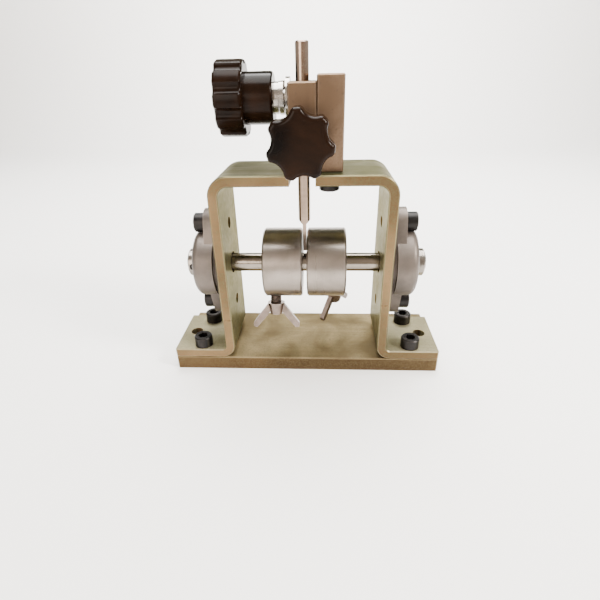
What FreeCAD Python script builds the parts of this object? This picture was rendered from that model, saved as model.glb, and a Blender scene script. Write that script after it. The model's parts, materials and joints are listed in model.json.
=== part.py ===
"""Bench cutting jig: a cutter held above a shaft that carries two collars with a narrow gap between them.

Millimetres, +Z up, +X along the shaft to the right, -Y to the front. The origin lies on the underside
of the base, midway between the two bench holes, straight below the shaft.
"""
import FreeCAD
import Part
import math
import os
import re

import Sketcher
from FreeCAD import Placement, Rotation, Vector

SIZES = (
    # Base and bent strap
    ("base_width", 147.0),
    ("base_depth", 50.0),
    ("base_thick", 8.0),
    ("edge_break", 0.5),
    ("strap_width", 38.0),
    ("strap_thick", 5.0),
    ("foot_span", "=base_width"),
    ("upright_span", 89.0),
    ("bridge_height", 108.5),
    ("top_bend", 5.0),
    ("foot_bend", 2.5),
    ("slot_width", 12.0),
    ("slot_depth", 25.0),
    ("bench_hole_inset", 7.5),
    ("bench_hole_d", 7.0),
    ("foot_screw_inset", 13.8),
    ("foot_screw_gap_y", 26.5),
    # Socket head screws
    ("screw_d", 6.0),
    ("head_d", 10.0),
    ("head_height", 6.0),
    ("hex_width", 5.0),
    ("hex_depth", 3.0),
    ("screw_break", 0.5),
    ("screw_clear", 0.3),
    ("thread_clear", 0.05),
    ("tip_recess", 2.0),
    ("post_screw_depth", 12.0),
    # Shaft and flange bearings
    ("shaft_d", 10.0),
    ("shaft_length", 127.6),
    ("shaft_height", 58.5),
    ("shaft_hole_clear", 1.0),
    ("running_clear", 0.04),
    ("bolt_gap", 45.0),
    ("flange_thick", 7.0),
    ("flange_end_radius", 7.5),
    ("flange_waist_radius", 15.0),
    ("housing_d", 36.0),
    ("housing_height", 13.5),
    ("housing_round", 3.5),
    ("housing_relief", 2.5),
    ("insert_offset", 8.0),
    ("seat_radius", 13.0),
    ("ring_width", 8.0),
    ("outer_ring_wall", 2.4),
    ("inner_ring_wall", 2.4),
    ("inner_ring_back", 5.0),
    ("inner_ring_length", 15.4),
    ("ball_d", 4.76),
    ("ball_count", 8),
    ("ball_clear", 0.03),
    ("cage_wall", 1.4),
    ("cage_width", 6.4),
    ("cage_clear", 0.12),
    ("shield_thick", 0.5),
    ("shield_clear", 0.2),
    ("set_screw_d", 4.0),
    ("set_screw_inset", 3.0),
    # Collars and wing screws
    ("collar_d", 37.0),
    ("collar_length", 20.2),
    ("collar_gap", 2.6),
    ("collar_break", 0.8),
    ("wing_screw_inset", 5.0),
    ("wing_shank_d", 6.0),
    ("wing_hub_d", 9.6),
    ("wing_hub_height", 6.5),
    ("wing_reach", 13.0),
    ("wing_rise", 8.0),
    ("wing_thick", 2.4),
    ("wing_root", 1.1),
    ("wing_web", 0.9),
    ("wing_tip_width", 2.2),
    ("wing_tip_height", 2.6),
    ("wing_round", 1.1),
    ("wing_hub_taper", 1.4),
    ("left_wing_gap", 4.4),
    ("right_wing_gap", 3.0),
    ("left_tilt", -12.0),
    ("right_tilt", 16.0),
    ("left_twist", 0.0),
    ("right_twist", -55.0),
    # Tool post, tool block and cutter, with the two tops measured up from the bridge
    ("post_width", 12.0),
    ("post_height", 40.0),
    ("holder_depth", 28.0),
    ("holder_front", 12.6),
    ("block_gap", 0.1),
    ("block_left", 6.0),
    ("block_right", 6.5),
    ("block_top", 37.2),
    ("block_height", 33.7),
    ("cutter_d", 6.0),
    ("cutter_top", 52.5),
    ("cutter_shoulder", 80.5),
    ("tip_clear", 2.0),
    ("blade_thick", 1.8),
    ("blade_width", 5.2),
    ("blade_taper", 7.0),
    ("blade_tip", 1.6),
    # Star knob at the front, with its height measured up from the bridge
    ("star_radius", 14.5),
    ("star_lobes", 7),
    ("star_valley", 12.0),
    ("star_scallop", 6.2),
    ("star_turn", 95.0),
    ("star_height", 14.4),
    ("star_thick", 12.0),
    ("star_boss_d", 13.0),
    ("star_boss_length", 7.5),
    ("star_boss_gap", 0.4),
    ("star_round", 1.8),
    ("star_tip_round", 2.0),
    ("star_stud_d", 6.0),
    ("stud_embed", 9.0),
    # Clamp knob at the left, with its height measured up from the bridge
    ("clamp_height", 30.1),
    ("clamp_back", 8.5),
    ("clamp_stud_d", 8.0),
    ("clamp_stud_depth", 10.0),
    ("clamp_stud_recess", 1.0),
    ("washer_d", 18.0),
    ("washer_thick", 2.0),
    ("spring_d", 14.8),
    ("spring_wall", 2.6),
    ("spring_thick", 2.1),
    ("spring_rise", 1.2),
    ("spring_split", 12.0),
    ("insert_d", 14.0),
    ("insert_length", 2.4),
    ("hub_d", 22.9),
    ("hub_length", 13.1),
    ("hub_round", 1.2),
    ("grip_d", 33.4),
    ("grip_length", 13.0),
    ("grip_flutes", 10),
    ("flute_radius", 3.2),
    ("flute_depth", 1.5),
    ("grip_round", 1.4),
)
AXES = {
    "X": Rotation(Vector(0, 1, 0), 90),
    "-X": Rotation(Vector(0, 1, 0), -90),
    "Y": Rotation(Vector(1, 0, 0), -90),
    "-Y": Rotation(Vector(1, 0, 0), 90),
    "Z": Rotation(),
}
SIDES = (("left", -1), ("right", 1))
OVERCUT = 1.0
SAME = 1e-4
BENCH_HOLE = "(base_width / 2 - bench_hole_inset)"
FOOT_SCREW = "(upright_span / 2 + foot_screw_inset)"
BLOCK_LOW = "(bridge_height + block_top - block_height)"
CUTTER_HIGH = "(bridge_height + cutter_top)"
STAR_LEVEL = "bridge_height + star_height"
CLAMP_LEVEL = "bridge_height + clamp_height"

doc = FreeCAD.newDocument("cutting_jig")
sheet = doc.addObject("Spreadsheet::Sheet", "Sizes")
for row, (alias, number) in enumerate(SIZES, 1):
    sheet.set("A%d" % row, alias)
    sheet.set("B%d" % row, str(number))
    sheet.setAlias("B%d" % row, alias)
doc.recompute()
ALIASES = {alias for alias, number in SIZES}
nodes = {}


def bound(text):
    """Write the sheet's name before each alias in an expression."""
    return re.sub(r"[a-z_]+", lambda word: "Sizes." + word[0] if word[0] in ALIASES else word[0], str(text))


def value(text):
    """Work out an expression of the sheet's aliases as a plain number."""
    return float(sheet.evalExpression(str(text)))


def bind(item, sizes):
    """Bind each property of an object to an expression."""
    for name, text in sizes.items():
        item.setExpression(name, bound(text))


def bind_place(item, place):
    """Bind the place of an object, component by component."""
    bind(item, {"Placement.Base." + axis: text for axis, text in zip("xyz", place)})


def new_body(label):
    """Start a named solid."""
    body = doc.addObject("PartDesign::Body", label)
    body.Label = label
    return body


def origin(body, role):
    """Find a plane or axis of the body's own origin."""
    return next(item for item in body.Origin.OriginFeatures if item.Role == role)


def box(body, kind, corner, size):
    """Add or cut a block."""
    item = body.newObject("PartDesign::%sBox" % kind, "Block")
    bind_place(item, corner)
    bind(item, dict(zip(("Length", "Width", "Height"), size)))
    doc.recompute()
    return item


def cylinder(body, kind, base, radius, height, axis="Z"):
    """Add or cut a round bar along an axis."""
    item = body.newObject("PartDesign::%sCylinder" % kind, "Round")
    item.Placement = Placement(Vector(), AXES[axis])
    bind_place(item, base)
    bind(item, {"Radius": radius, "Height": height})
    doc.recompute()
    return item


def polygon(body, plane, points):
    """Draw a closed outline whose corners are bound to the sheet."""
    sketch = body.newObject("Sketcher::SketchObject", "Outline")
    sketch.AttachmentSupport = [(origin(body, plane), "")]
    sketch.MapMode = "FlatFace"
    corners = [Vector(value(across), value(up), 0) for across, up in points]
    count = len(corners)
    for index in range(count):
        sketch.addGeometry(Part.LineSegment(corners[index], corners[(index + 1) % count]), False)
    for index in range(count):
        sketch.addConstraint(Sketcher.Constraint("Coincident", index, 2, (index + 1) % count, 1))
    for index, (texts, corner) in enumerate(zip(points, corners)):
        for direction, text, number in (("X", texts[0], corner.x), ("Y", texts[1], corner.y)):
            datum = sketch.addConstraint(
                Sketcher.Constraint("Distance" + direction, -1, 1, index, 1, number)
            )
            sketch.setExpression("Constraints[%d]" % datum, bound(text))
    doc.recompute()
    return sketch


def pad(body, sketch, length, symmetric=False):
    """Raise an outline into a solid."""
    item = body.newObject("PartDesign::Pad", "Pad")
    item.Profile = sketch
    if symmetric:
        item.SideType = "Symmetric"
    bind(item, {"Length": length})
    doc.recompute()
    return item


def pocket_both_ways(body, sketch):
    """Cut an outline right through the body, on both sides of its plane."""
    before = body.Shape.Volume
    item = body.newObject("PartDesign::Pocket", "Cut")
    item.Profile = sketch
    item.SideType = "Symmetric"
    item.Type = "ThroughAll"
    doc.recompute()
    if body.Shape.Volume >= before:
        raise RuntimeError("a cut removed nothing from " + body.Label)
    return item


def revolve(body, points):
    """Turn a half outline, given as radius and height, about the body's Z axis."""
    sketch = polygon(body, "XZ_Plane", points)
    item = body.newObject("PartDesign::Revolution", "Turned")
    item.Profile = sketch
    item.ReferenceAxis = (sketch, ["V_Axis"])
    item.Angle = 360
    doc.recompute()
    return item


def repeat_round(body, original, count):
    """Repeat a feature about the body's Z axis."""
    item = body.newObject("PartDesign::PolarPattern", "Repeat")
    item.Originals = [original]
    item.Axis = (origin(body, "Z_Axis"), [""])
    item.Angle = 360
    bind(item, {"Occurrences": count})
    body.Tip = item
    doc.recompute()
    return item


def soften(body, kind, size, wanted):
    """Round or chamfer the edges of the body that a test picks."""
    names = ["Edge%d" % number for number, edge in enumerate(body.Shape.Edges, 1) if wanted(edge)]
    if not names:
        raise RuntimeError("no edge to soften on " + body.Label)
    last = body.Tip
    item = body.newObject("PartDesign::" + kind, kind)
    item.Base = (last, names)
    bind(item, {"Radius" if kind == "Fillet" else "Size": size})
    doc.recompute()
    return item


def near(first, second):
    """Say whether two lengths are the same."""
    return abs(first - second) < SAME


def circle_at(radius, height):
    """Pick round edges of one radius at one height."""
    def wanted(edge):
        curve = edge.Curve
        return isinstance(curve, Part.Circle) and near(curve.Radius, value(radius)) \
            and near(curve.Center.z, value(height))
    return wanted


def across_at(places):
    """Pick straight edges that run along Y at the given X and Z."""
    spots = [(value(across), value(up)) for across, up in places]

    def wanted(edge):
        middle = edge.CenterOfMass
        return edge.BoundBox.XLength < SAME and edge.BoundBox.ZLength < SAME \
            and any(near(middle.x, x) and near(middle.z, z) for x, z in spots)
    return wanted


def keep(label, item):
    """Name an object as a node of the model."""
    item.Label = label
    nodes[label] = item


def group(label, items):
    """Keep several equal solids together in one node."""
    item = doc.addObject("Part::Compound", label)
    item.Links = items
    doc.recompute()
    keep(label, item)


def facing(z_axis, x_axis):
    """Give the rotation that turns Z and X to the given directions."""
    return Rotation(x_axis, z_axis.cross(x_axis), z_axis, "ZXY")


def radial(tilt):
    """Give the direction straight down from the shaft, tilted to the back."""
    angle = math.radians(value(tilt))
    return Vector(0, math.sin(angle), -math.cos(angle))


def base_plate():
    """Flat bar under the strap, flush with it at the front."""
    body = new_body("base_plate")
    front = "-strap_width / 2"
    back = "base_depth - strap_width / 2"
    outline = polygon(body, "XY_Plane", [
        ("-base_width / 2", front), ("base_width / 2", front),
        ("base_width / 2", back), ("-base_width / 2", back),
    ])
    pad(body, outline, "base_thick")
    soften(body, "Chamfer", "edge_break", lambda edge: edge.CenterOfMass.z > value("edge_break"))
    for side in (-1, 1):
        cylinder(body, "Subtractive", ("%d * %s" % (side, BENCH_HOLE), 0, -OVERCUT),
                 "bench_hole_d / 2", "base_thick + 2 * %g" % OVERCUT)
        for end in (-1, 1):
            place = ("%d * %s" % (side, FOOT_SCREW), "%d * foot_screw_gap_y / 2" % end, -OVERCUT)
            cylinder(body, "Subtractive", place, "screw_d / 2 + thread_clear",
                     "base_thick + 2 * %g" % OVERCUT)
    keep("base_plate", body)


def hat_frame():
    """One strap bent four times: foot, upright, bridge, upright, foot."""
    body = new_body("hat_frame")
    outer = "upright_span / 2"
    inner = "(upright_span / 2 - strap_thick)"
    end = "foot_span / 2"
    low = "base_thick"
    foot_top = "(base_thick + strap_thick)"
    top = "bridge_height"
    under = "(bridge_height - strap_thick)"
    half = [(end, low), (end, foot_top), (outer, foot_top), (outer, top)]
    inside = [(inner, under), (inner, low)]
    points = half + [("-" + x, z) for x, z in reversed(half)]
    points += [("-" + x, z) for x, z in reversed(inside)] + inside
    pad(body, polygon(body, "XZ_Plane", points), "strap_width", symmetric=True)
    bends = (
        ("top_bend + strap_thick", (outer, top)), ("top_bend", (inner, under)),
        ("foot_bend", (outer, foot_top)), ("foot_bend + strap_thick", (inner, low)),
    )
    for radius, (across, up) in bends:
        soften(body, "Fillet", radius, across_at([(across, up), ("-" + across, up)]))
    face = value("strap_width / 2")
    soften(body, "Chamfer", "edge_break",
           lambda edge: all(near(abs(corner.Y), face) for corner in edge.Vertexes)
           and edge.BoundBox.YLength < SAME)
    reach = "upright_span + 2 * %g" % OVERCUT
    left = "-upright_span / 2 - %g" % OVERCUT
    cylinder(body, "Subtractive", (left, 0, "shaft_height"), "shaft_d / 2 + shaft_hole_clear", reach, "X")
    for end in (-1, 1):
        cylinder(body, "Subtractive", (left, 0, "shaft_height + %d * bolt_gap / 2" % end),
                 "screw_d / 2 + thread_clear", reach, "X")
    drop = "strap_thick + 2 * %g" % OVERCUT
    for side in (-1, 1):
        cylinder(body, "Subtractive", ("%d * %s" % (side, BENCH_HOLE), 0, "base_thick - %g" % OVERCUT),
                 "bench_hole_d / 2", drop)
        for end in (-1, 1):
            cylinder(body, "Subtractive",
                     ("%d * %s" % (side, FOOT_SCREW), "%d * foot_screw_gap_y / 2" % end,
                      "base_thick - %g" % OVERCUT), "screw_d / 2 + screw_clear", drop)
    floor = under + " - %g" % OVERCUT
    box(body, "Subtractive", ("-slot_width / 2", "-strap_width / 2 - %g" % OVERCUT, floor),
        ("slot_width", "slot_depth - slot_width / 2 + %g" % OVERCUT, drop))
    cylinder(body, "Subtractive", (0, "slot_depth - strap_width / 2 - slot_width / 2", floor),
             "slot_width / 2", drop)
    cylinder(body, "Subtractive", ("block_right + block_gap + post_width / 2", 0, floor),
             "screw_d / 2 + screw_clear", drop)
    keep("hat_frame", body)


def socket_screw(label, length, place, rotation):
    """Socket head screw with the underside of its head at its own origin and its head up."""
    body = new_body(label)
    revolve(body, [
        (0, "-(%s)" % length), ("screw_d / 2 - screw_break", "-(%s)" % length),
        ("screw_d / 2", "screw_break - (%s)" % length), ("screw_d / 2", 0), ("head_d / 2", 0),
        ("head_d / 2", "head_height - screw_break"), ("head_d / 2 - screw_break", "head_height"),
        (0, "head_height"),
    ])
    socket = body.newObject("PartDesign::SubtractivePrism", "Socket")
    socket.Polygon = 6
    bind(socket, {"Circumradius": "hex_width / sqrt(3)", "Height": "hex_depth + %g" % OVERCUT})
    bind_place(socket, (0, 0, "head_height - hex_depth"))
    body.Placement = Placement(Vector(), rotation)
    bind_place(body, place)
    doc.recompute()
    return body


def frame_screws():
    """Four screws through the feet into the base."""
    screws = []
    for side in (-1, 1):
        for end in (-1, 1):
            place = ("%d * %s" % (side, FOOT_SCREW), "%d * foot_screw_gap_y / 2" % end,
                     "base_thick + strap_thick")
            screws.append(socket_screw("frame_screw", "strap_thick + base_thick - tip_recess",
                                       place, Rotation()))
    group("frame_screws", screws)


def bearing_screws(side_name, side):
    """Two screws through a bearing flange into the upright."""
    turn = facing(Vector(side, 0, 0), Vector(0, 0, -1))
    screws = []
    for end in (-1, 1):
        place = ("%d * (upright_span / 2 + flange_thick)" % side, 0, "shaft_height + %d * bolt_gap / 2" % end)
        screws.append(socket_screw(side_name + "_bearing_screw", "flange_thick + strap_thick - tip_recess",
                                   place, turn))
    group(side_name + "_bearing_screws", screws)


def set_on_upright(item, side):
    """Place a bearing piece, made along Z, on the outside of an upright."""
    item.Placement = Placement(Vector(), facing(Vector(side, 0, 0), Vector(0, 0, -1)))
    bind_place(item, ("%d * upright_span / 2" % side, 0, "shaft_height"))
    doc.recompute()


def bearing_housing(side_name, side):
    """Cast flange with two bolt ears and a round boss that holds the insert in a ball-shaped seat."""
    body = new_body(side_name + "_bearing_housing")
    half = "bolt_gap / 2"
    slope = "((flange_waist_radius - flange_end_radius) / (bolt_gap / 2))"
    rise = "sqrt(1 - %s ^ 2)" % slope
    ear = ("%s + flange_end_radius * %s" % (half, slope), "flange_end_radius * " + rise)
    waist = ("flange_waist_radius * " + slope, "flange_waist_radius * " + rise)
    upper = [ear, waist, ("-" + waist[0], waist[1]), ("-(%s)" % ear[0], ear[1])]
    lower = [(across, "-" + up) for across, up in reversed(upper)]
    pad(body, polygon(body, "XY_Plane", upper + lower), "flange_thick")
    cylinder(body, "Additive", (0, 0, 0), "flange_waist_radius", "flange_thick")
    for end in (-1, 1):
        cylinder(body, "Additive", ("%d * %s" % (end, half), 0, 0), "flange_end_radius", "flange_thick")
    cylinder(body, "Additive", (0, 0, "housing_relief"), "housing_d / 2", "housing_height - housing_relief")
    soften(body, "Fillet", "housing_round", circle_at("housing_d / 2", "housing_height"))
    for end in (-1, 1):
        ear_middle = "%d * %s" % (end, half)
        cylinder(body, "Subtractive", (ear_middle, 0, "flange_thick"), "head_d / 2 + screw_clear",
                 "housing_height")
        cylinder(body, "Subtractive", (ear_middle, 0, -OVERCUT), "screw_d / 2 + screw_clear",
                 "flange_thick + 2 * %g" % OVERCUT)
    seat = body.newObject("PartDesign::SubtractiveSphere", "Seat")
    bind(seat, {"Radius": "seat_radius + running_clear"})
    bind_place(seat, (0, 0, "insert_offset"))
    cylinder(body, "Subtractive", (0, 0, -OVERCUT), "sqrt(seat_radius ^ 2 - (ring_width / 2) ^ 2)",
             "housing_height + 2 * %g" % OVERCUT)
    set_on_upright(body, side)
    keep(body.Label, body)


BALL_CIRCLE = "(shaft_d / 2 + inner_ring_wall + seat_radius - outer_ring_wall) / 2"


def ball_groove(body):
    """Cut the ball track into a ring."""
    track = body.newObject("PartDesign::SubtractiveTorus", "Track")
    bind(track, {"Radius1": BALL_CIRCLE, "Radius2": "ball_d / 2 + ball_clear"})
    bind_place(track, (0, 0, "insert_offset"))
    doc.recompute()


def outer_ring(side_name, side):
    """Outer ring of the insert, ball shaped outside so that it lines itself up."""
    body = new_body(side_name + "_outer_ring")
    ball = body.newObject("PartDesign::AdditiveSphere", "Ball")
    bind(ball, {"Radius": "seat_radius"})
    bind_place(ball, (0, 0, "insert_offset"))
    doc.recompute()
    for start in ("insert_offset + ring_width / 2", "insert_offset - ring_width / 2 - seat_radius"):
        cylinder(body, "Subtractive", (0, 0, start), "seat_radius + %g" % OVERCUT, "seat_radius")
    cylinder(body, "Subtractive", (0, 0, "insert_offset - seat_radius"), "seat_radius - outer_ring_wall",
             "2 * seat_radius")
    ball_groove(body)
    set_on_upright(body, side)
    keep(body.Label, body)


def inner_ring(side_name, side):
    """Inner ring of the insert, long at the outer side, where two set screws lock it on the shaft."""
    body = new_body(side_name + "_inner_ring")
    bore = "shaft_d / 2 + running_clear"
    rim = "shaft_d / 2 + inner_ring_wall"
    back = "insert_offset - inner_ring_back"
    front = back + " + inner_ring_length"
    revolve(body, [
        (bore, back), (rim, back), (rim, front + " - screw_break"), (rim + " - screw_break", front),
        (bore, front),
    ])
    ball_groove(body)
    for axis in ("X", "Y"):
        cylinder(body, "Subtractive", (0, 0, front + " - set_screw_inset"),
                 "set_screw_d / 2 + thread_clear", rim + " + %g" % OVERCUT, axis)
    set_on_upright(body, side)
    keep(body.Label, body)


def set_screws(side_name, side):
    """Two grub screws at a right angle, flush with the inner ring."""
    screws = []
    for axis in ("X", "Y"):
        body = new_body(side_name + "_set_screw")
        start = "(shaft_d / 2 + thread_clear)"
        height = "insert_offset - inner_ring_back + inner_ring_length - set_screw_inset"
        along = (start, 0, height) if axis == "X" else (0, start, height)
        cylinder(body, "Additive", along, "set_screw_d / 2", "inner_ring_wall - 2 * thread_clear", axis)
        socket = body.newObject("PartDesign::SubtractivePrism", "Socket")
        socket.Polygon = 6
        socket.Placement = Placement(Vector(), AXES[axis])
        middle = "shaft_d / 2 + inner_ring_wall / 2"
        bind_place(socket, (middle, 0, height) if axis == "X" else (0, middle, height))
        bind(socket, {"Circumradius": "set_screw_d / 4", "Height": "inner_ring_wall"})
        set_on_upright(body, side)
        screws.append(body)
    group(side_name + "_set_screws", screws)


def balls(side_name, side):
    """Balls between the rings."""
    items = []
    step = 360.0 / value("ball_count")
    for index in range(int(value("ball_count"))):
        body = new_body(side_name + "_ball")
        ball = body.newObject("PartDesign::AdditiveSphere", "Ball")
        bind(ball, {"Radius": "ball_d / 2"})
        turn = "%g deg" % (index * step)
        across = "(%s) * cos(%s)" % (BALL_CIRCLE, turn)
        up = "(%s) * sin(%s)" % (BALL_CIRCLE, turn)
        bind_place(ball, (across, up, "insert_offset"))
        set_on_upright(body, side)
        items.append(body)
    group(side_name + "_balls", items)


def cage(side_name, side):
    """Ring with a pocket for each ball."""
    body = new_body(side_name + "_cage")
    low = "insert_offset - cage_width / 2"
    cylinder(body, "Additive", (0, 0, low), "(%s) + cage_wall / 2" % BALL_CIRCLE, "cage_width")
    cylinder(body, "Subtractive", (0, 0, low + " - %g" % OVERCUT), "(%s) - cage_wall / 2" % BALL_CIRCLE,
             "cage_width + 2 * %g" % OVERCUT)
    hole = cylinder(body, "Subtractive", (0, 0, "insert_offset"), "ball_d / 2 + cage_clear",
                    BALL_CIRCLE + " + cage_wall", "X")
    repeat_round(body, hole, "ball_count")
    set_on_upright(body, side)
    keep(body.Label, body)


def shields(side_name, side):
    """Two thin rings that close the insert at its sides."""
    rings = []
    for start in ("insert_offset - ring_width / 2", "insert_offset + ring_width / 2 - shield_thick"):
        body = new_body(side_name + "_shield")
        inside = "shaft_d / 2 + inner_ring_wall + shield_clear"
        outside = "seat_radius - outer_ring_wall - thread_clear"
        revolve(body, [
            (inside, start), (outside, start), (outside, start + " + shield_thick"),
            (inside, start + " + shield_thick"),
        ])
        set_on_upright(body, side)
        rings.append(body)
    group(side_name + "_shields", rings)


def shaft():
    """Plain bar through both bearings."""
    body = new_body("shaft")
    rim = "shaft_d / 2"
    end = "shaft_length / 2"
    revolve(body, [
        (0, "-" + end), (rim + " - screw_break", "-" + end), (rim, "screw_break - " + end),
        (rim, end + " - screw_break"), (rim + " - screw_break", end), (0, end),
    ])
    body.Placement = Placement(Vector(), AXES["X"])
    bind_place(body, (0, 0, "shaft_height"))
    keep("shaft", body)


def collar(side_name, side):
    """Thick sleeve on the shaft with a tapped hole near its outer end."""
    body = new_body(side_name + "_collar")
    bore = "shaft_d / 2 + running_clear"
    rim = "collar_d / 2"
    start = "collar_gap / 2"
    end = "collar_gap / 2 + collar_length"
    revolve(body, [
        (bore, start), (rim + " - collar_break", start), (rim, start + " + collar_break"),
        (rim, end + " - collar_break"), (rim + " - collar_break", end), (bore, end),
    ])
    cylinder(body, "Subtractive", (0, 0, end + " - wing_screw_inset"), "wing_shank_d / 2 + thread_clear",
             rim + " + %g" % OVERCUT, "X")
    body.Placement = Placement(Vector(), facing(Vector(side, 0, 0), radial(side_name + "_tilt")))
    bind_place(body, (0, 0, "shaft_height"))
    keep(body.Label, body)


def wing_screw(side_name, side):
    """Wing screw that bears on the shaft: shank, hub and two raised wings."""
    body = new_body(side_name + "_wing_screw")
    hub = "(collar_d / 2 + %s_wing_gap)" % side_name
    crown = hub + " + wing_hub_height"
    rim = "wing_hub_d / 2"
    shank = "wing_shank_d / 2"
    revolve(body, [
        (0, "shaft_d / 2 + thread_clear"), (shank, "shaft_d / 2 + thread_clear"), (shank, hub), (rim, hub),
        (rim + " - wing_hub_taper", crown), (0, crown),
    ])
    tip = crown + " + wing_rise"
    for way in ("", "-"):
        outline = polygon(body, "XZ_Plane", [
            (0, hub + " + wing_root"), (way + "(%s)" % rim, hub + " + wing_root"),
            (way + "wing_reach", tip + " - wing_tip_height"), (way + "wing_reach", tip),
            (way + "(wing_reach - wing_tip_width)", tip),
            (way + "(%s - wing_hub_taper)" % rim, crown + " - wing_web"), (0, crown + " - wing_web"),
        ])
        pad(body, outline, "wing_thick", symmetric=True)
    ends = [(way + "wing_reach", height) for way in ("", "-") for height in (tip, tip + " - wing_tip_height")]
    soften(body, "Fillet", "wing_round", across_at(ends))
    down = radial(side_name + "_tilt")
    spin = Rotation(down, value(side_name + "_twist"))
    body.Placement = Placement(Vector(), spin.multiply(facing(down, Vector(1, 0, 0))))
    bind_place(body, ("%d * (collar_gap / 2 + collar_length - wing_screw_inset)" % side, 0, "shaft_height"))
    keep(body.Label, body)


def holder_block(label, left, width, low, height):
    """Plain block with broken edges, on the line of the cutter holder."""
    body = new_body(label)
    box(body, "Additive", (left, "-holder_front", low), (width, "holder_depth", height))
    soften(body, "Chamfer", "edge_break", lambda edge: True)
    return body


def tool_post():
    """Upright block on the bridge, held by one screw from below."""
    left = "(block_right + block_gap)"
    body = holder_block("tool_post", left, "post_width", "bridge_height", "post_height")
    cylinder(body, "Subtractive", (left + " + post_width / 2", 0, "bridge_height - %g" % OVERCUT),
             "screw_d / 2 + thread_clear", "post_screw_depth + 2 * %g" % OVERCUT)
    cylinder(body, "Subtractive", (left + " - %g" % OVERCUT, "clamp_back", CLAMP_LEVEL),
             "clamp_stud_d / 2 + thread_clear", "clamp_stud_depth + 2 * %g" % OVERCUT, "X")
    keep("tool_post", body)


def post_screw():
    """Screw from under the bridge into the post."""
    place = ("block_right + block_gap + post_width / 2", 0, "bridge_height - strap_thick")
    turn = Rotation(Vector(1, 0, 0), 180)
    keep("post_screw", socket_screw("post_screw", "strap_thick + post_screw_depth", place, turn))


def tool_block():
    """Block beside the post, with the cutter's bore, the stud's hole and the tapped hole at the front."""
    body = holder_block("tool_block", "-block_left", "block_left + block_right",
                        BLOCK_LOW, "block_height")
    cylinder(body, "Subtractive", (0, 0, BLOCK_LOW + " - %g" % OVERCUT),
             "cutter_d / 2 + running_clear", "block_height + 2 * %g" % OVERCUT)
    cylinder(body, "Subtractive", ("-block_left - %g" % OVERCUT, "clamp_back", CLAMP_LEVEL),
             "clamp_stud_d / 2 + running_clear", "block_left + block_right + 2 * %g" % OVERCUT, "X")
    cylinder(body, "Subtractive", (0, "-holder_front - %g" % OVERCUT, STAR_LEVEL),
             "star_stud_d / 2 + thread_clear", "holder_front + %g" % OVERCUT, "Y")
    keep("tool_block", body)


def cutter():
    """Round bar whose lower end is ground to a flat, narrowing blade."""
    body = new_body("cutter")
    rim = "cutter_d / 2"
    tip = "(shaft_height + shaft_d / 2 + tip_clear)"
    revolve(body, [
        (0, tip), (rim, tip), (rim, CUTTER_HIGH + " - screw_break"), (rim + " - screw_break", CUTTER_HIGH),
        (0, CUTTER_HIGH),
    ])
    low = tip + " - %g" % OVERCUT
    wide = rim + " + %g" % OVERCUT
    for way in ("", "-"):
        pocket_both_ways(body, polygon(body, "XZ_Plane", [
            (way + "blade_thick / 2", low), (way + "(%s)" % wide, low),
            (way + "(%s)" % wide, "cutter_shoulder + %s - blade_thick / 2" % wide),
            (way + "blade_thick / 2", "cutter_shoulder"),
        ]))
        pocket_both_ways(body, polygon(body, "YZ_Plane", [
            (way + "blade_tip / 2", tip), (way + "blade_width / 2", tip + " + blade_taper"),
            (way + "blade_width / 2", "cutter_shoulder"), (way + "(%s)" % wide, "cutter_shoulder"),
            (way + "(%s)" % wide, low), (way + "blade_tip / 2", low),
        ]))
    keep("cutter", body)


def star_knob():
    """Moulded knob with rounded lobes, a boss at the back and a bore for its stud."""
    body = new_body("star_knob")
    boss = "star_boss_length"
    face = "star_boss_length + star_thick"
    cylinder(body, "Additive", (0, 0, boss), "star_radius", "star_thick")
    half_step = 180.0 / value("star_lobes")
    turn = math.radians(value("star_turn") + half_step)
    reach = "(star_valley + star_scallop)"
    scallop = cylinder(body, "Subtractive",
                       ("%s * %.9f" % (reach, math.cos(turn)), "%s * %.9f" % (reach, math.sin(turn)),
                        boss + " - %g" % OVERCUT), "star_scallop", "star_thick + 2 * %g" % OVERCUT)
    repeat_round(body, scallop, "star_lobes")
    rim = value("star_radius")
    soften(body, "Fillet", "star_tip_round",
           lambda edge: edge.BoundBox.ZLength > value("star_thick") / 2
           and near(math.hypot(edge.CenterOfMass.x, edge.CenterOfMass.y), rim))
    for height in (face, boss):
        level = value(height)
        soften(body, "Fillet", "star_round",
               lambda edge: edge.BoundBox.ZLength < SAME and near(edge.CenterOfMass.z, level))
    cylinder(body, "Additive", (0, 0, 0), "star_boss_d / 2", boss + " + star_thick / 2")
    cylinder(body, "Subtractive", (0, 0, -OVERCUT), "star_stud_d / 2 + thread_clear / 2",
             "stud_embed + %g" % OVERCUT)
    body.Placement = Placement(Vector(), facing(Vector(0, -1, 0), Vector(1, 0, 0)))
    bind_place(body, (0, "-holder_front - star_boss_gap", STAR_LEVEL))
    keep("star_knob", body)


def star_stud():
    """Threaded stud from the star knob to the cutter."""
    body = new_body("star_stud")
    rim = "star_stud_d / 2"
    length = "stud_embed + star_boss_gap + holder_front - cutter_d / 2 - thread_clear"
    revolve(body, [
        (0, 0), (rim, 0), (rim, length + " - screw_break"), (rim + " - screw_break", length), (0, length),
    ])
    body.Placement = Placement(Vector(), AXES["Y"])
    bind_place(body, (0, "-holder_front - star_boss_gap - stud_embed", STAR_LEVEL))
    keep("star_stud", body)


SPRING_STACK = "(spring_thick + spring_rise)"
KNOB_START = "(washer_thick + %s + insert_length)" % SPRING_STACK


def set_at_clamp(item, start):
    """Place a piece, made along Z, on the clamp stud's line, away from the block's left face."""
    item.Placement = Placement(Vector(), facing(Vector(-1, 0, 0), Vector(0, 0, 1)))
    bind_place(item, ("-block_left - (%s)" % start, "clamp_back", CLAMP_LEVEL))
    doc.recompute()


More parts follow.
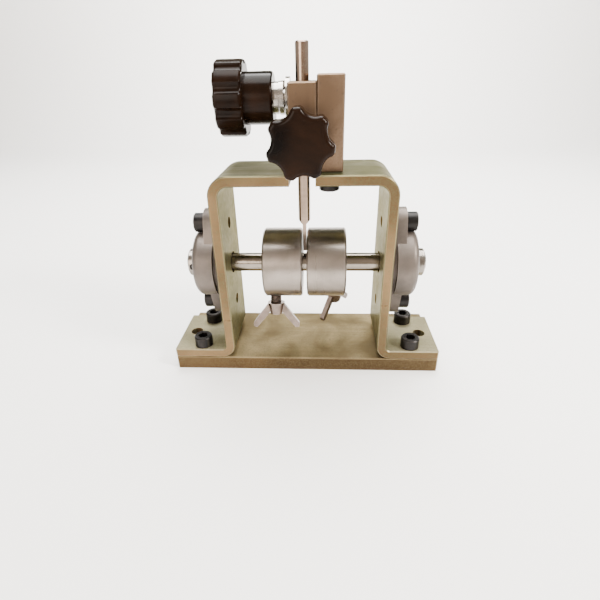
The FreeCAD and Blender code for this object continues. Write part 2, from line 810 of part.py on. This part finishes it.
def clamp_knob():
    """Moulded knob with a smooth hub and a wide fluted grip."""
    body = new_body("clamp_knob")
    cylinder(body, "Additive", (0, 0, "hub_length"), "grip_d / 2", "grip_length")
    flute = cylinder(body, "Subtractive",
                     ("grip_d / 2 - flute_depth + flute_radius", 0, "hub_length - %g" % OVERCUT),
                     "flute_radius", "grip_length + 2 * %g" % OVERCUT)
    repeat_round(body, flute, "grip_flutes")
    for height in ("hub_length + grip_length", "hub_length"):
        level = value(height)
        soften(body, "Fillet", "grip_round",
               lambda edge: edge.BoundBox.ZLength < SAME and near(edge.CenterOfMass.z, level))
    cylinder(body, "Additive", (0, 0, 0), "hub_d / 2", "hub_length + grip_length / 2")
    soften(body, "Fillet", "hub_round", circle_at("hub_d / 2", 0))
    cylinder(body, "Subtractive", (0, 0, -OVERCUT), "clamp_stud_d / 2 + thread_clear / 2",
             "hub_length + %g" % OVERCUT)
    set_at_clamp(body, KNOB_START)
    keep("clamp_knob", body)


def clamp_stud():
    """Stud of the clamp knob, with a collar that presses on the washers."""
    body = new_body("clamp_stud")
    rim = "clamp_stud_d / 2"
    collar_end = "insert_length"
    tip = "insert_length + %s + washer_thick + block_left + block_right + block_gap + clamp_stud_depth" \
        % SPRING_STACK
    revolve(body, [
        (0, "clamp_stud_recess - hub_length"), (rim, "clamp_stud_recess - hub_length"), (rim, 0),
        ("insert_d / 2", 0), ("insert_d / 2", collar_end), (rim, collar_end),
        (rim, tip + " - screw_break"), (rim + " - screw_break", tip), (0, tip),
    ])
    body.Placement = Placement(Vector(), AXES["X"])
    bind_place(body, ("-block_left - %s" % KNOB_START, "clamp_back", CLAMP_LEVEL))
    keep("clamp_stud", body)


def flat_washer():
    """Plain washer against the tool block."""
    body = new_body("flat_washer")
    bore = "clamp_stud_d / 2 + screw_clear"
    revolve(body, [
        (bore, 0), ("washer_d / 2", 0), ("washer_d / 2", "washer_thick"), (bore, "washer_thick"),
    ])
    set_at_clamp(body, 0)
    keep("flat_washer", body)


def spring_washer():
    """Split washer of square section, whose two ends stand apart."""
    middle = value("(spring_d - spring_wall) / 2")
    rise = value("spring_rise")
    sweep = 360.0 - value("spring_split")
    pitch = rise * 360.0 / sweep
    helix = Part.makeHelix(pitch, rise, middle)
    half_wall = value("spring_wall") / 2
    thick = value("spring_thick")
    outline = [(middle - half_wall, 0), (middle + half_wall, 0), (middle + half_wall, thick),
               (middle - half_wall, thick)]
    corners = [Vector(across, 0, up) for across, up in outline]
    section = Part.makePolygon(corners + corners[:1])
    shell = Part.BRepOffsetAPI.MakePipeShell(Part.Wire(helix.Edges))
    shell.setFrenetMode(True)
    shell.add(section)
    shell.build()
    shell.makeSolid()
    item = doc.addObject("Part::Feature", "spring_washer")
    item.Shape = shell.shape()
    set_at_clamp(item, "washer_thick")
    keep("spring_washer", item)


base_plate()
hat_frame()
frame_screws()
for name, direction in SIDES:
    bearing_housing(name, direction)
    bearing_screws(name, direction)
    outer_ring(name, direction)
    inner_ring(name, direction)
    set_screws(name, direction)
    balls(name, direction)
    cage(name, direction)
    shields(name, direction)
shaft()
for name, direction in SIDES:
    collar(name, direction)
    wing_screw(name, direction)
tool_post()
post_screw()
tool_block()
cutter()
star_knob()
star_stud()
clamp_knob()
clamp_stud()
flat_washer()
spring_washer()
doc.recompute()

for item in doc.Objects:
    if "Invalid" in item.State or "Error" in item.State:
        raise RuntimeError("failed object: " + item.Label)
for label, item in nodes.items():
    if item.Shape.isNull() or not item.Shape.isValid():
        raise RuntimeError("bad shape: " + label)
os.makedirs("parts", exist_ok=True)
for label, item in nodes.items():
    item.Shape.exportStep("parts/%s.step" % label)
    print(label, len(item.Shape.Solids), round(item.Shape.Volume, 2))
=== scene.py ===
"""Looks of the bench cutting jig: finishes, stage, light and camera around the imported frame, in metres."""
import json
import math

import bpy
from mathutils import Matrix, Vector


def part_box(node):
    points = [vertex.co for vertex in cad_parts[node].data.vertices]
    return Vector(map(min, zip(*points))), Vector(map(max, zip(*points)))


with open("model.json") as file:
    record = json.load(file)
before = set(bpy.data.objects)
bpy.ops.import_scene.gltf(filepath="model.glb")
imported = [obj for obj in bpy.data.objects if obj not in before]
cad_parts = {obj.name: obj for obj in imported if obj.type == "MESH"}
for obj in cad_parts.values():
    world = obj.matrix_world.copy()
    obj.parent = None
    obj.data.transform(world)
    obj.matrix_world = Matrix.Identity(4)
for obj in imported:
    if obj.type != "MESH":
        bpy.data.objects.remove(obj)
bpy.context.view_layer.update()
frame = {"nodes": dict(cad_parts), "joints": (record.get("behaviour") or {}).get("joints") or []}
MM = 0.001
NODES = frame["nodes"]
JOINTS = {joint["name"]: joint for joint in frame["joints"]}

# Camera, as fitted to the photograph
CAMERA_PLACE = Vector((9.26, -208.36, 149.11)) * MM
CAMERA_PITCH = math.radians(28.72)
CAMERA_YAW = math.radians(-3.47)
CAMERA_ROLL = math.radians(-1.39)
FRAME_PIXELS = 600
FOCAL_PIXELS = 415.59
SENSOR_MM = 36.0
NEAREST_SEEN = 10.0 * MM

# Free shank of each wing screw between its collar and its hub
WING_GAPS = {"left": 4.4 * MM, "right": 3.0 * MM}
THREAD_PITCH = 1.0 * MM
THREAD_DEPTH = 0.25 * MM
THREAD_FADE = 0.2 * MM

# Darker olive band over the top of the bridge and paler band on the feet of the strap, set by height
STRAP_THICK = 5.0 * MM
BAND_DEPTH = 1.0 * MM

# Depth of each finish's surface marks
GRAIN_DEPTH = 0.02 * MM
RING_DEPTH = 0.006 * MM
CASTING_DEPTH = 0.05 * MM
OXIDE_DEPTH = 0.03 * MM
FLOW_DEPTH = 0.06 * MM
GRIND_DEPTH = 0.01 * MM

# Pitch of the lathe's rings
COLLAR_PITCH = 0.35 * MM
SHAFT_PITCH = 0.2 * MM

# Tint of worked metal seen at a low angle
DULL_GRAZE = (0.36, 0.33, 0.20, 1.0)

# Painted shade on the stretch above the cutter's tip, where it sits in the gap between the collars
TIP_SHADE = 11.5 * MM
TIP_FADE = 3.0 * MM

# Stage and light
FLOOR_HALF_WIDTH = 1.6
FLOOR_FRONT = -1.4
WALL_FOOT = 0.70
WALL_RADIUS = 0.30
WALL_TOP = 0.36
WALL_STEPS = 16
FLOOR_COLOUR = (0.93, 0.925, 0.915, 1.0)
FLOOR_ROUGHNESS = 0.8
AREA_LIGHTS = (
    ("overhead", (0.0, 0.10, 1.00), 0.90, 32.0, (1.0, 0.98, 0.95)),
    ("key", (0.52, -0.22, 0.50), 0.16, 9.0, (1.0, 0.95, 0.88)),
    ("front", (-0.40, -0.70, 0.30), 0.55, 6.0, (1.0, 0.90, 0.80)),
    ("wall_wash", (0.0, 0.45, 0.75), 0.70, 20.0, (1.0, 0.99, 0.97)),
)
ROOM_PALE = (1.0, 0.98, 0.94, 1.0)
ROOM_OLIVE = (0.30, 0.29, 0.20, 1.0)
ROOM_DARK = (0.10, 0.11, 0.075, 1.0)
ROOM_WARM = (0.95, 0.80, 0.66, 1.0)
ROOM_STRENGTH = 1.0
LIGHT_TARGETS = {"wall_wash": Vector((0.0, 1.0, 0.10))}
LIGHT_TARGET = Vector((0.0, 0.0, 0.07))


class Steps:
    """Short, named steps that add nodes to a shader's tree."""

    def __init__(self, tree):
        self.tree = tree
        coordinates = tree.nodes.new("ShaderNodeTexCoord")
        self.place = coordinates.outputs["Object"]
        self.normal = coordinates.outputs["Normal"]
        self.direction = coordinates.outputs["Generated"]

    def node(self, kind, **settings):
        """Add a node and set its properties."""
        node = self.tree.nodes.new(kind)
        for name, setting in settings.items():
            setattr(node, name, setting)
        return node

    def feed(self, socket, source):
        """Link an output to a socket, or set the socket to a plain value."""
        if isinstance(source, bpy.types.NodeSocket):
            self.tree.links.new(source, socket)
        else:
            socket.default_value = source

    def remap(self, source, low, high, new_low, new_high):
        """Map a value from one span to another, held at its ends."""
        node = self.node("ShaderNodeMapRange")
        self.feed(node.inputs["Value"], source)
        for name, number in zip(("From Min", "From Max", "To Min", "To Max"), (low, high, new_low, new_high)):
            node.inputs[name].default_value = number
        return node.outputs["Result"]

    def math(self, operation, first, second):
        """Combine two values."""
        node = self.node("ShaderNodeMath", operation=operation)
        self.feed(node.inputs[0], first)
        self.feed(node.inputs[1], second)
        return node.outputs[0]

    def mix(self, share, first, second):
        """Blend two colours."""
        node = self.node("ShaderNodeMix", data_type="RGBA")
        self.feed(node.inputs["Factor"], share)
        self.feed(node.inputs["A"], first)
        self.feed(node.inputs["B"], second)
        return node.outputs["Result"]

    def dot(self, first, second):
        """Give the dot product of two vectors."""
        node = self.node("ShaderNodeVectorMath", operation="DOT_PRODUCT")
        self.feed(node.inputs[0], first)
        self.feed(node.inputs[1], second)
        return node.outputs["Value"]


class Finish(Steps):
    """A node material for a surface."""

    def __init__(self, name):
        self.material = bpy.data.materials.new(name)
        self.material.use_nodes = True
        super().__init__(self.material.node_tree)
        self.shader = self.tree.nodes["Principled BSDF"]

    def stretched(self, scale):
        """Give the object's own coordinates, stretched along each axis."""
        node = self.node("ShaderNodeMapping")
        self.feed(node.inputs["Vector"], self.place)
        node.inputs["Scale"].default_value = scale
        return node.outputs["Vector"]

    def noise(self, scale, detail=4.0, stretch=(1, 1, 1), distortion=0.0):
        """Give a noise value from 0 to 1."""
        node = self.node("ShaderNodeTexNoise")
        self.feed(node.inputs["Vector"], self.stretched(stretch))
        node.inputs["Scale"].default_value = scale
        node.inputs["Detail"].default_value = detail
        node.inputs["Distortion"].default_value = distortion
        return node.outputs["Fac"]

    def along(self, axis, start=(0, 0, 0)):
        """Give the distance of a point along an axis from a start point."""
        offset = self.node("ShaderNodeVectorMath", operation="SUBTRACT")
        self.feed(offset.inputs[0], self.place)
        offset.inputs[1].default_value = start
        return self.dot(offset.outputs["Vector"], axis)

    def facing(self, axis):
        """Give 1 where the surface faces along an axis, either way, and 0 elsewhere."""
        size = self.math("ABSOLUTE", self.dot(self.normal, axis), 0.0)
        return self.remap(size, 0.75, 0.95, 0.0, 1.0)

    def edges(self, radius):
        """Give a value that rises to 1 on sharp edges."""
        bevel = self.node("ShaderNodeBevel", samples=6)
        bevel.inputs["Radius"].default_value = radius
        plain = self.node("ShaderNodeNewGeometry")
        level = self.dot(bevel.outputs["Normal"], plain.outputs["Normal"])
        return self.remap(level, 0.995, 0.86, 0.0, 1.0)

    def bump(self, height, distance, strength=1.0, under=None):
        """Turn a height into a normal, on top of another one."""
        node = self.node("ShaderNodeBump")
        node.inputs["Strength"].default_value = strength
        node.inputs["Distance"].default_value = distance
        self.feed(node.inputs["Height"], height)
        if under is not None:
            self.feed(node.inputs["Normal"], under)
        return node.outputs["Normal"]

    def set(self, **sockets):
        """Set or link the shader's sockets, given with underscores for spaces."""
        for name, source in sockets.items():
            self.feed(self.shader.inputs[name.replace("_", " ").title()], source)


def colour(red, green, blue):
    """Give a colour with full alpha."""
    return (red, green, blue, 1.0)


def worked_metal(name, light, dark, edge_highlight, rough, grain, cut=None, bands=(), specks=0.5):
    """Metal with a grain, stains, specks and edges lightened as a painted highlight, and where given barer
    cuts and tinted heights.
    """
    finish = Finish(name)
    lines = finish.noise(420.0, 5.0, grain)
    stains = finish.noise(38.0, 6.0, distortion=0.6)
    tone = finish.mix(finish.remap(stains, 0.36, 0.62, 0.0, 1.0), light, dark)
    for start, full, tint in bands:
        share = finish.remap(finish.along((0, 0, 1)), start, full, 0.0, 0.85)
        patchy = finish.math("MULTIPLY", share, finish.remap(stains, 0.2, 0.5, 0.75, 1.0))
        tone = finish.mix(patchy, tone, tint)
    if cut:
        bare = finish.mix(finish.remap(finish.noise(24.0, 5.0), 0.40, 0.58, 0.0, 1.0), *cut)
        tone = finish.mix(finish.facing((0, 1, 0)), tone, bare)
    tone = finish.mix(finish.remap(lines, 0.30, 0.75, 0.0, 0.28), tone, dark)
    tone = finish.mix(finish.remap(finish.noise(1700.0, 3.0), 0.42, 0.70, 0.0, 0.55), tone, dark)
    dirt = finish.remap(finish.noise(700.0, 2.0), 0.66, 0.75, 0.0, specks)
    tone = finish.mix(dirt, tone, colour(0.06, 0.05, 0.04))
    # Painted highlight: sharp edges are lightened towards the edge colour
    tone = finish.mix(finish.math("MULTIPLY", finish.edges(0.5 * MM), 0.75), tone, edge_highlight)
    gloss = finish.remap(finish.noise(60.0, 5.0), 0.30, 0.70, rough - 0.07, rough + 0.09)
    gloss = finish.math("ADD", gloss, finish.remap(lines, 0.3, 0.7, -0.04, 0.06))
    finish.set(base_color=tone, roughness=gloss, normal=finish.bump(lines, GRAIN_DEPTH, 0.6))
    finish.shader.inputs["Metallic"].default_value = 0.72
    finish.shader.inputs["Specular Tint"].default_value = DULL_GRAZE
    return finish.material


def turned_metal(name, light, dark, rough, pitch):
    """Metal turned on a lathe, with fine rings along X."""
    finish = Finish(name)
    turns = finish.math("MULTIPLY", finish.along((1, 0, 0)), 2 * math.pi / pitch)
    rings = finish.remap(finish.math("SINE", turns, 0.0), -1.0, 1.0, 0.0, 1.0)
    uneven = finish.noise(900.0, 4.0, (1.0, 0.02, 0.02))
    height = finish.math("ADD", rings, finish.math("MULTIPLY", uneven, 0.5))
    stains = finish.noise(45.0, 6.0, distortion=0.8)
    tone = finish.mix(finish.remap(stains, 0.38, 0.72, 0.0, 1.0), light, dark)
    tone = finish.mix(finish.remap(uneven, 0.35, 0.7, 0.0, 0.08), tone, dark)
    dirt = finish.remap(finish.noise(520.0, 3.0), 0.68, 0.75, 0.0, 0.4)
    tone = finish.mix(dirt, tone, colour(0.07, 0.06, 0.05))
    # Painted highlight: sharp edges are lightened
    tone = finish.mix(finish.math("MULTIPLY", finish.edges(0.4 * MM), 0.6), tone, colour(0.50, 0.45, 0.39))
    gloss = finish.remap(uneven, 0.3, 0.7, rough - 0.03, rough + 0.05)
    finish.set(base_color=tone, roughness=gloss, normal=finish.bump(height, RING_DEPTH, 0.4))
    finish.shader.inputs["Metallic"].default_value = 1.0
    return finish.material


def cast_metal(name, light, dark):
    """Matte die casting with a fine grain and darker pits."""
    finish = Finish(name)
    grain = finish.noise(1500.0, 4.0)
    clouds = finish.noise(70.0, 6.0)
    tone = finish.mix(finish.remap(clouds, 0.35, 0.68, 0.0, 1.0), light, dark)
    pits = finish.remap(finish.noise(650.0, 2.0), 0.66, 0.74, 0.0, 0.5)
    tone = finish.mix(pits, tone, colour(0.10, 0.09, 0.08))
    # Painted highlight: sharp edges are lightened
    tone = finish.mix(finish.math("MULTIPLY", finish.edges(0.6 * MM), 0.5), tone, colour(0.22, 0.19, 0.165))
    gloss = finish.remap(clouds, 0.3, 0.7, 0.42, 0.56)
    finish.set(base_color=tone, roughness=gloss, normal=finish.bump(grain, CASTING_DEPTH, 0.8))
    finish.shader.inputs["Metallic"].default_value = 0.65
    return finish.material


def plated(name, light, dark, rough, threads=None):
    """Bright plating, with screw threads along an axis where they are given."""
    finish = Finish(name)
    clouds = finish.noise(160.0, 5.0)
    tone = finish.mix(finish.remap(clouds, 0.35, 0.7, 0.0, 1.0), light, dark)
    # Painted highlight: sharp edges are lightened
    tone = finish.mix(finish.math("MULTIPLY", finish.edges(0.3 * MM), 0.5), tone, colour(0.55, 0.50, 0.46))
    gloss = finish.remap(clouds, 0.3, 0.7, rough - 0.05, rough + 0.10)
    surface = finish.bump(finish.noise(1200.0, 3.0), GRAIN_DEPTH, 0.5)
    if threads:
        axis, start, pitch, end = threads
        distance = finish.along(axis, start)
        wave = finish.math("SINE", finish.math("MULTIPLY", distance, 2 * math.pi / pitch), 0.0)
        only = finish.remap(distance, end - THREAD_FADE, end, 1.0, 0.0)
        ridge = finish.math("MULTIPLY", wave, only)
        surface = finish.bump(ridge, THREAD_DEPTH, 1.0, surface)
        # Painted shade: the thread roots are darkened
        tone = finish.mix(finish.remap(ridge, -1.0, -0.2, 0.25, 0.0), tone, colour(0.10, 0.09, 0.08))
    finish.set(base_color=tone, roughness=gloss, normal=surface)
    finish.shader.inputs["Metallic"].default_value = 1.0
    return finish.material


def black_oxide(name):
    """Blackened steel with a dull sheen and edges lightened as a painted highlight."""
    finish = Finish(name)
    clouds = finish.noise(220.0, 5.0)
    tone = finish.mix(finish.remap(clouds, 0.35, 0.7, 0.0, 1.0), colour(0.005, 0.0045, 0.0045),
                      colour(0.016, 0.013, 0.012))
    # Painted highlight: sharp edges are lightened
    tone = finish.mix(finish.math("MULTIPLY", finish.edges(0.3 * MM), 0.55), tone, colour(0.12, 0.105, 0.095))
    gloss = finish.remap(clouds, 0.3, 0.7, 0.30, 0.48)
    surface = finish.bump(finish.noise(1600.0, 3.0), OXIDE_DEPTH, 0.6)
    finish.set(base_color=tone, roughness=gloss, normal=surface)
    finish.shader.inputs["Metallic"].default_value = 0.7
    return finish.material


def bakelite(name):
    """Glossy black moulding with faint flow marks, dust and edges lightened as a painted highlight."""
    finish = Finish(name)
    clouds = finish.noise(55.0, 6.0, distortion=0.5)
    dust = finish.remap(finish.noise(800.0, 3.0), 0.68, 0.80, 0.0, 0.12)
    tone = finish.mix(finish.remap(clouds, 0.35, 0.7, 0.0, 1.0), colour(0.0018, 0.0012, 0.0009),
                      colour(0.013, 0.0055, 0.0025))
    tone = finish.mix(dust, tone, colour(0.05, 0.04, 0.035))
    # Painted highlight: sharp edges are lightened
    tone = finish.mix(finish.math("MULTIPLY", finish.edges(0.5 * MM), 0.30), tone, colour(0.03, 0.022, 0.018))
    gloss = finish.remap(clouds, 0.3, 0.7, 0.14, 0.26)
    surface = finish.bump(finish.noise(260.0, 4.0), FLOW_DEPTH, 0.35)
    finish.set(base_color=tone, roughness=gloss, normal=surface)
    finish.shader.inputs["Specular IOR Level"].default_value = 0.07
    return finish.material


def ground_steel(name, light, dark, rough, shade_span):
    """Polished bar with faint grinding rings, and painted shade that fades in between two heights."""
    finish = Finish(name)
    rings = finish.noise(700.0, 4.0, (0.05, 0.05, 1.0))
    clouds = finish.noise(90.0, 5.0)
    tone = finish.mix(finish.remap(clouds, 0.35, 0.7, 0.0, 1.0), light, dark)
    tone = finish.mix(finish.remap(rings, 0.35, 0.7, 0.0, 0.3), tone, dark)
    # Painted shade: the blade darkens towards the tip, where it sits between the collars
    shaded = finish.remap(finish.along((0, 0, 1)), *shade_span, 0.0, 0.85)
    tone = finish.mix(shaded, tone, colour(0.02, 0.016, 0.013))
    gloss = finish.remap(rings, 0.3, 0.7, rough - 0.04, rough + 0.08)
    finish.set(base_color=tone, roughness=gloss, normal=finish.bump(rings, GRIND_DEPTH, 0.5))
    finish.shader.inputs["Metallic"].default_value = 1.0
    return finish.material


def dress(material, *names):
    """Give a finish to CAD nodes."""
    for name in names:
        slots = NODES[name].data.materials
        slots.clear()
        slots.append(material)


def both(name):
    """Name the left and the right one of a pair."""
    return "left_" + name, "right_" + name


def dress_all():
    """Give every node its finish."""
    strap_low, strap_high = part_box("hat_frame")
    bridge = (strap_high.z - 2 * BAND_DEPTH, strap_high.z)
    feet = (strap_low.z + STRAP_THICK + BAND_DEPTH, strap_low.z + STRAP_THICK)
    dress(worked_metal("plated_strap", colour(0.19, 0.172, 0.092), colour(0.105, 0.10, 0.052),
                       colour(0.42, 0.31, 0.19), 0.36, (0.05, 1.0, 1.0),
                       cut=(colour(0.20, 0.12, 0.06), colour(0.095, 0.055, 0.027)),
                       bands=((*bridge, colour(0.07, 0.074, 0.034)), (*feet, colour(0.42, 0.38, 0.25)))),
          "hat_frame")
    dress(worked_metal("plated_base", colour(0.31, 0.245, 0.135), colour(0.13, 0.098, 0.052),
                       colour(0.42, 0.31, 0.19), 0.40, (0.04, 1.0, 1.0),
                       cut=(colour(0.078, 0.045, 0.02), colour(0.045, 0.026, 0.012))),
          "base_plate")
    dress(worked_metal("milled_holder", colour(0.20, 0.132, 0.088), colour(0.12, 0.078, 0.05),
                       colour(0.38, 0.28, 0.21), 0.38, (1.0, 1.0, 0.06)), "tool_post", "tool_block")
    dress(cast_metal("cast_zinc", colour(0.13, 0.107, 0.092), colour(0.072, 0.06, 0.052)),
          *both("bearing_housing"))
    dress(turned_metal("turned_collar", colour(0.31, 0.27, 0.24), colour(0.20, 0.175, 0.15), 0.30,
                       COLLAR_PITCH), *both("collar"))
    dress(turned_metal("polished_shaft", colour(0.30, 0.265, 0.225), colour(0.20, 0.175, 0.145), 0.16,
                       SHAFT_PITCH), "shaft")
    dress(plated("bearing_steel", colour(0.25, 0.225, 0.20), colour(0.16, 0.145, 0.13), 0.24),
          *both("outer_ring"), *both("inner_ring"), *both("balls"), *both("shields"))
    dress(plated("pressed_cage", colour(0.40, 0.35, 0.27), colour(0.28, 0.24, 0.18), 0.35), *both("cage"))
    dress(plated("bright_zinc", colour(0.42, 0.39, 0.36), colour(0.27, 0.25, 0.23), 0.20),
          "star_stud", "clamp_stud", "flat_washer", "spring_washer")
    dress(black_oxide("black_oxide"), "frame_screws", "post_screw", *both("bearing_screws"),
          *both("set_screws"))
    dress(bakelite("black_bakelite"), "star_knob", "clamp_knob")
    # The cutter's tip between the collars gets painted shade
    shade_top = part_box("cutter")[0].z + TIP_SHADE
    dress(ground_steel("ground_cutter", colour(0.31, 0.23, 0.18), colour(0.19, 0.14, 0.105), 0.18,
                       (shade_top, shade_top - TIP_FADE)), "cutter")
    for side, gap in WING_GAPS.items():
        joint = JOINTS[side + "_wing_turn"]
        low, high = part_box(side + "_collar")
        hub_start = (high.y - low.y) / 2 + gap
        threads = (joint["axis"], joint["pos_m"], THREAD_PITCH, hub_start)
        dress(plated(side + "_wing_zinc", colour(0.24, 0.19, 0.165), colour(0.13, 0.10, 0.086), 0.30,
                     threads), side + "_wing_screw")


def stage():
    """Pale floor that curves up into a plain wall behind."""
    profile = [(FLOOR_FRONT, 0.0), (WALL_FOOT, 0.0)]
    for step in range(1, WALL_STEPS + 1):
        angle = math.radians(90.0) * step / WALL_STEPS
        profile.append((WALL_FOOT + WALL_RADIUS * math.sin(angle), WALL_RADIUS * (1 - math.cos(angle))))
    profile.append((WALL_FOOT + WALL_RADIUS, WALL_TOP))
    points = [(side * FLOOR_HALF_WIDTH, depth, height) for depth, height in profile for side in (-1, 1)]
    faces = [(2 * row, 2 * row + 1, 2 * row + 3, 2 * row + 2) for row in range(len(profile) - 1)]
    mesh = bpy.data.meshes.new("floor")
    mesh.from_pydata(points, [], faces)
    for face in mesh.polygons:
        face.use_smooth = True
    floor = bpy.data.objects.new("floor", mesh)
    bpy.context.scene.collection.objects.link(floor)
    paint = bpy.data.materials.new("pale_floor")
    paint.use_nodes = True
    shader = paint.node_tree.nodes["Principled BSDF"]
    shader.inputs["Base Color"].default_value = FLOOR_COLOUR
    shader.inputs["Roughness"].default_value = FLOOR_ROUGHNESS
    mesh.materials.append(paint)


def light():
    """Soft lamps and a room that is pale at eye level, warm at the front and dark olive overhead."""
    for name, place, size, power, tint in AREA_LIGHTS:
        lamp = bpy.data.lights.new(name, "AREA")
        lamp.shape = "DISK"
        lamp.size = size
        lamp.energy = power
        lamp.color = tint
        holder = bpy.data.objects.new(name, lamp)
        holder.location = place
        ahead = LIGHT_TARGETS.get(name, LIGHT_TARGET) - Vector(place)
        holder.rotation_euler = ahead.to_track_quat("-Z", "Y").to_euler()
        bpy.context.scene.collection.objects.link(holder)
    world = bpy.data.worlds.new("room")
    bpy.context.scene.world = world
    world.use_nodes = True
    steps = Steps(world.node_tree)
    height = steps.dot(steps.direction, (0, 0, 1))
    front = steps.remap(steps.dot(steps.direction, (0, -1, 0)), 0.15, 0.80, 0.0, 1.0)
    low = steps.mix(steps.remap(height, 0.10, 0.36, 0.0, 1.0), ROOM_PALE, ROOM_OLIVE)
    high = steps.mix(steps.remap(height, 0.40, 0.80, 0.0, 1.0), low, ROOM_DARK)
    sky = world.node_tree.nodes["Background"]
    steps.feed(sky.inputs["Color"], steps.mix(front, high, ROOM_WARM))
    sky.inputs["Strength"].default_value = ROOM_STRENGTH


def camera():
    """Camera at the photograph's place and angle."""
    ahead = Vector((math.sin(CAMERA_YAW) * math.cos(CAMERA_PITCH),
                    math.cos(CAMERA_YAW) * math.cos(CAMERA_PITCH), -math.sin(CAMERA_PITCH)))
    right = Vector((math.cos(CAMERA_YAW), -math.sin(CAMERA_YAW), 0.0))
    up = right.cross(ahead)
    rolled_right = math.cos(CAMERA_ROLL) * right + math.sin(CAMERA_ROLL) * up
    rolled_up = math.cos(CAMERA_ROLL) * up - math.sin(CAMERA_ROLL) * right
    eye = bpy.data.cameras.new("camera")
    eye.sensor_width = SENSOR_MM
    eye.lens = SENSOR_MM * FOCAL_PIXELS / FRAME_PIXELS
    eye.clip_start = NEAREST_SEEN
    holder = bpy.data.objects.new("camera", eye)
    turn = Matrix((rolled_right, rolled_up, -ahead)).transposed()
    holder.matrix_world = Matrix.Translation(CAMERA_PLACE) @ turn.to_4x4()
    bpy.context.scene.collection.objects.link(holder)
    bpy.context.scene.camera = holder


camera()
stage()
light()
dress_all()
bpy.context.view_layer.update()
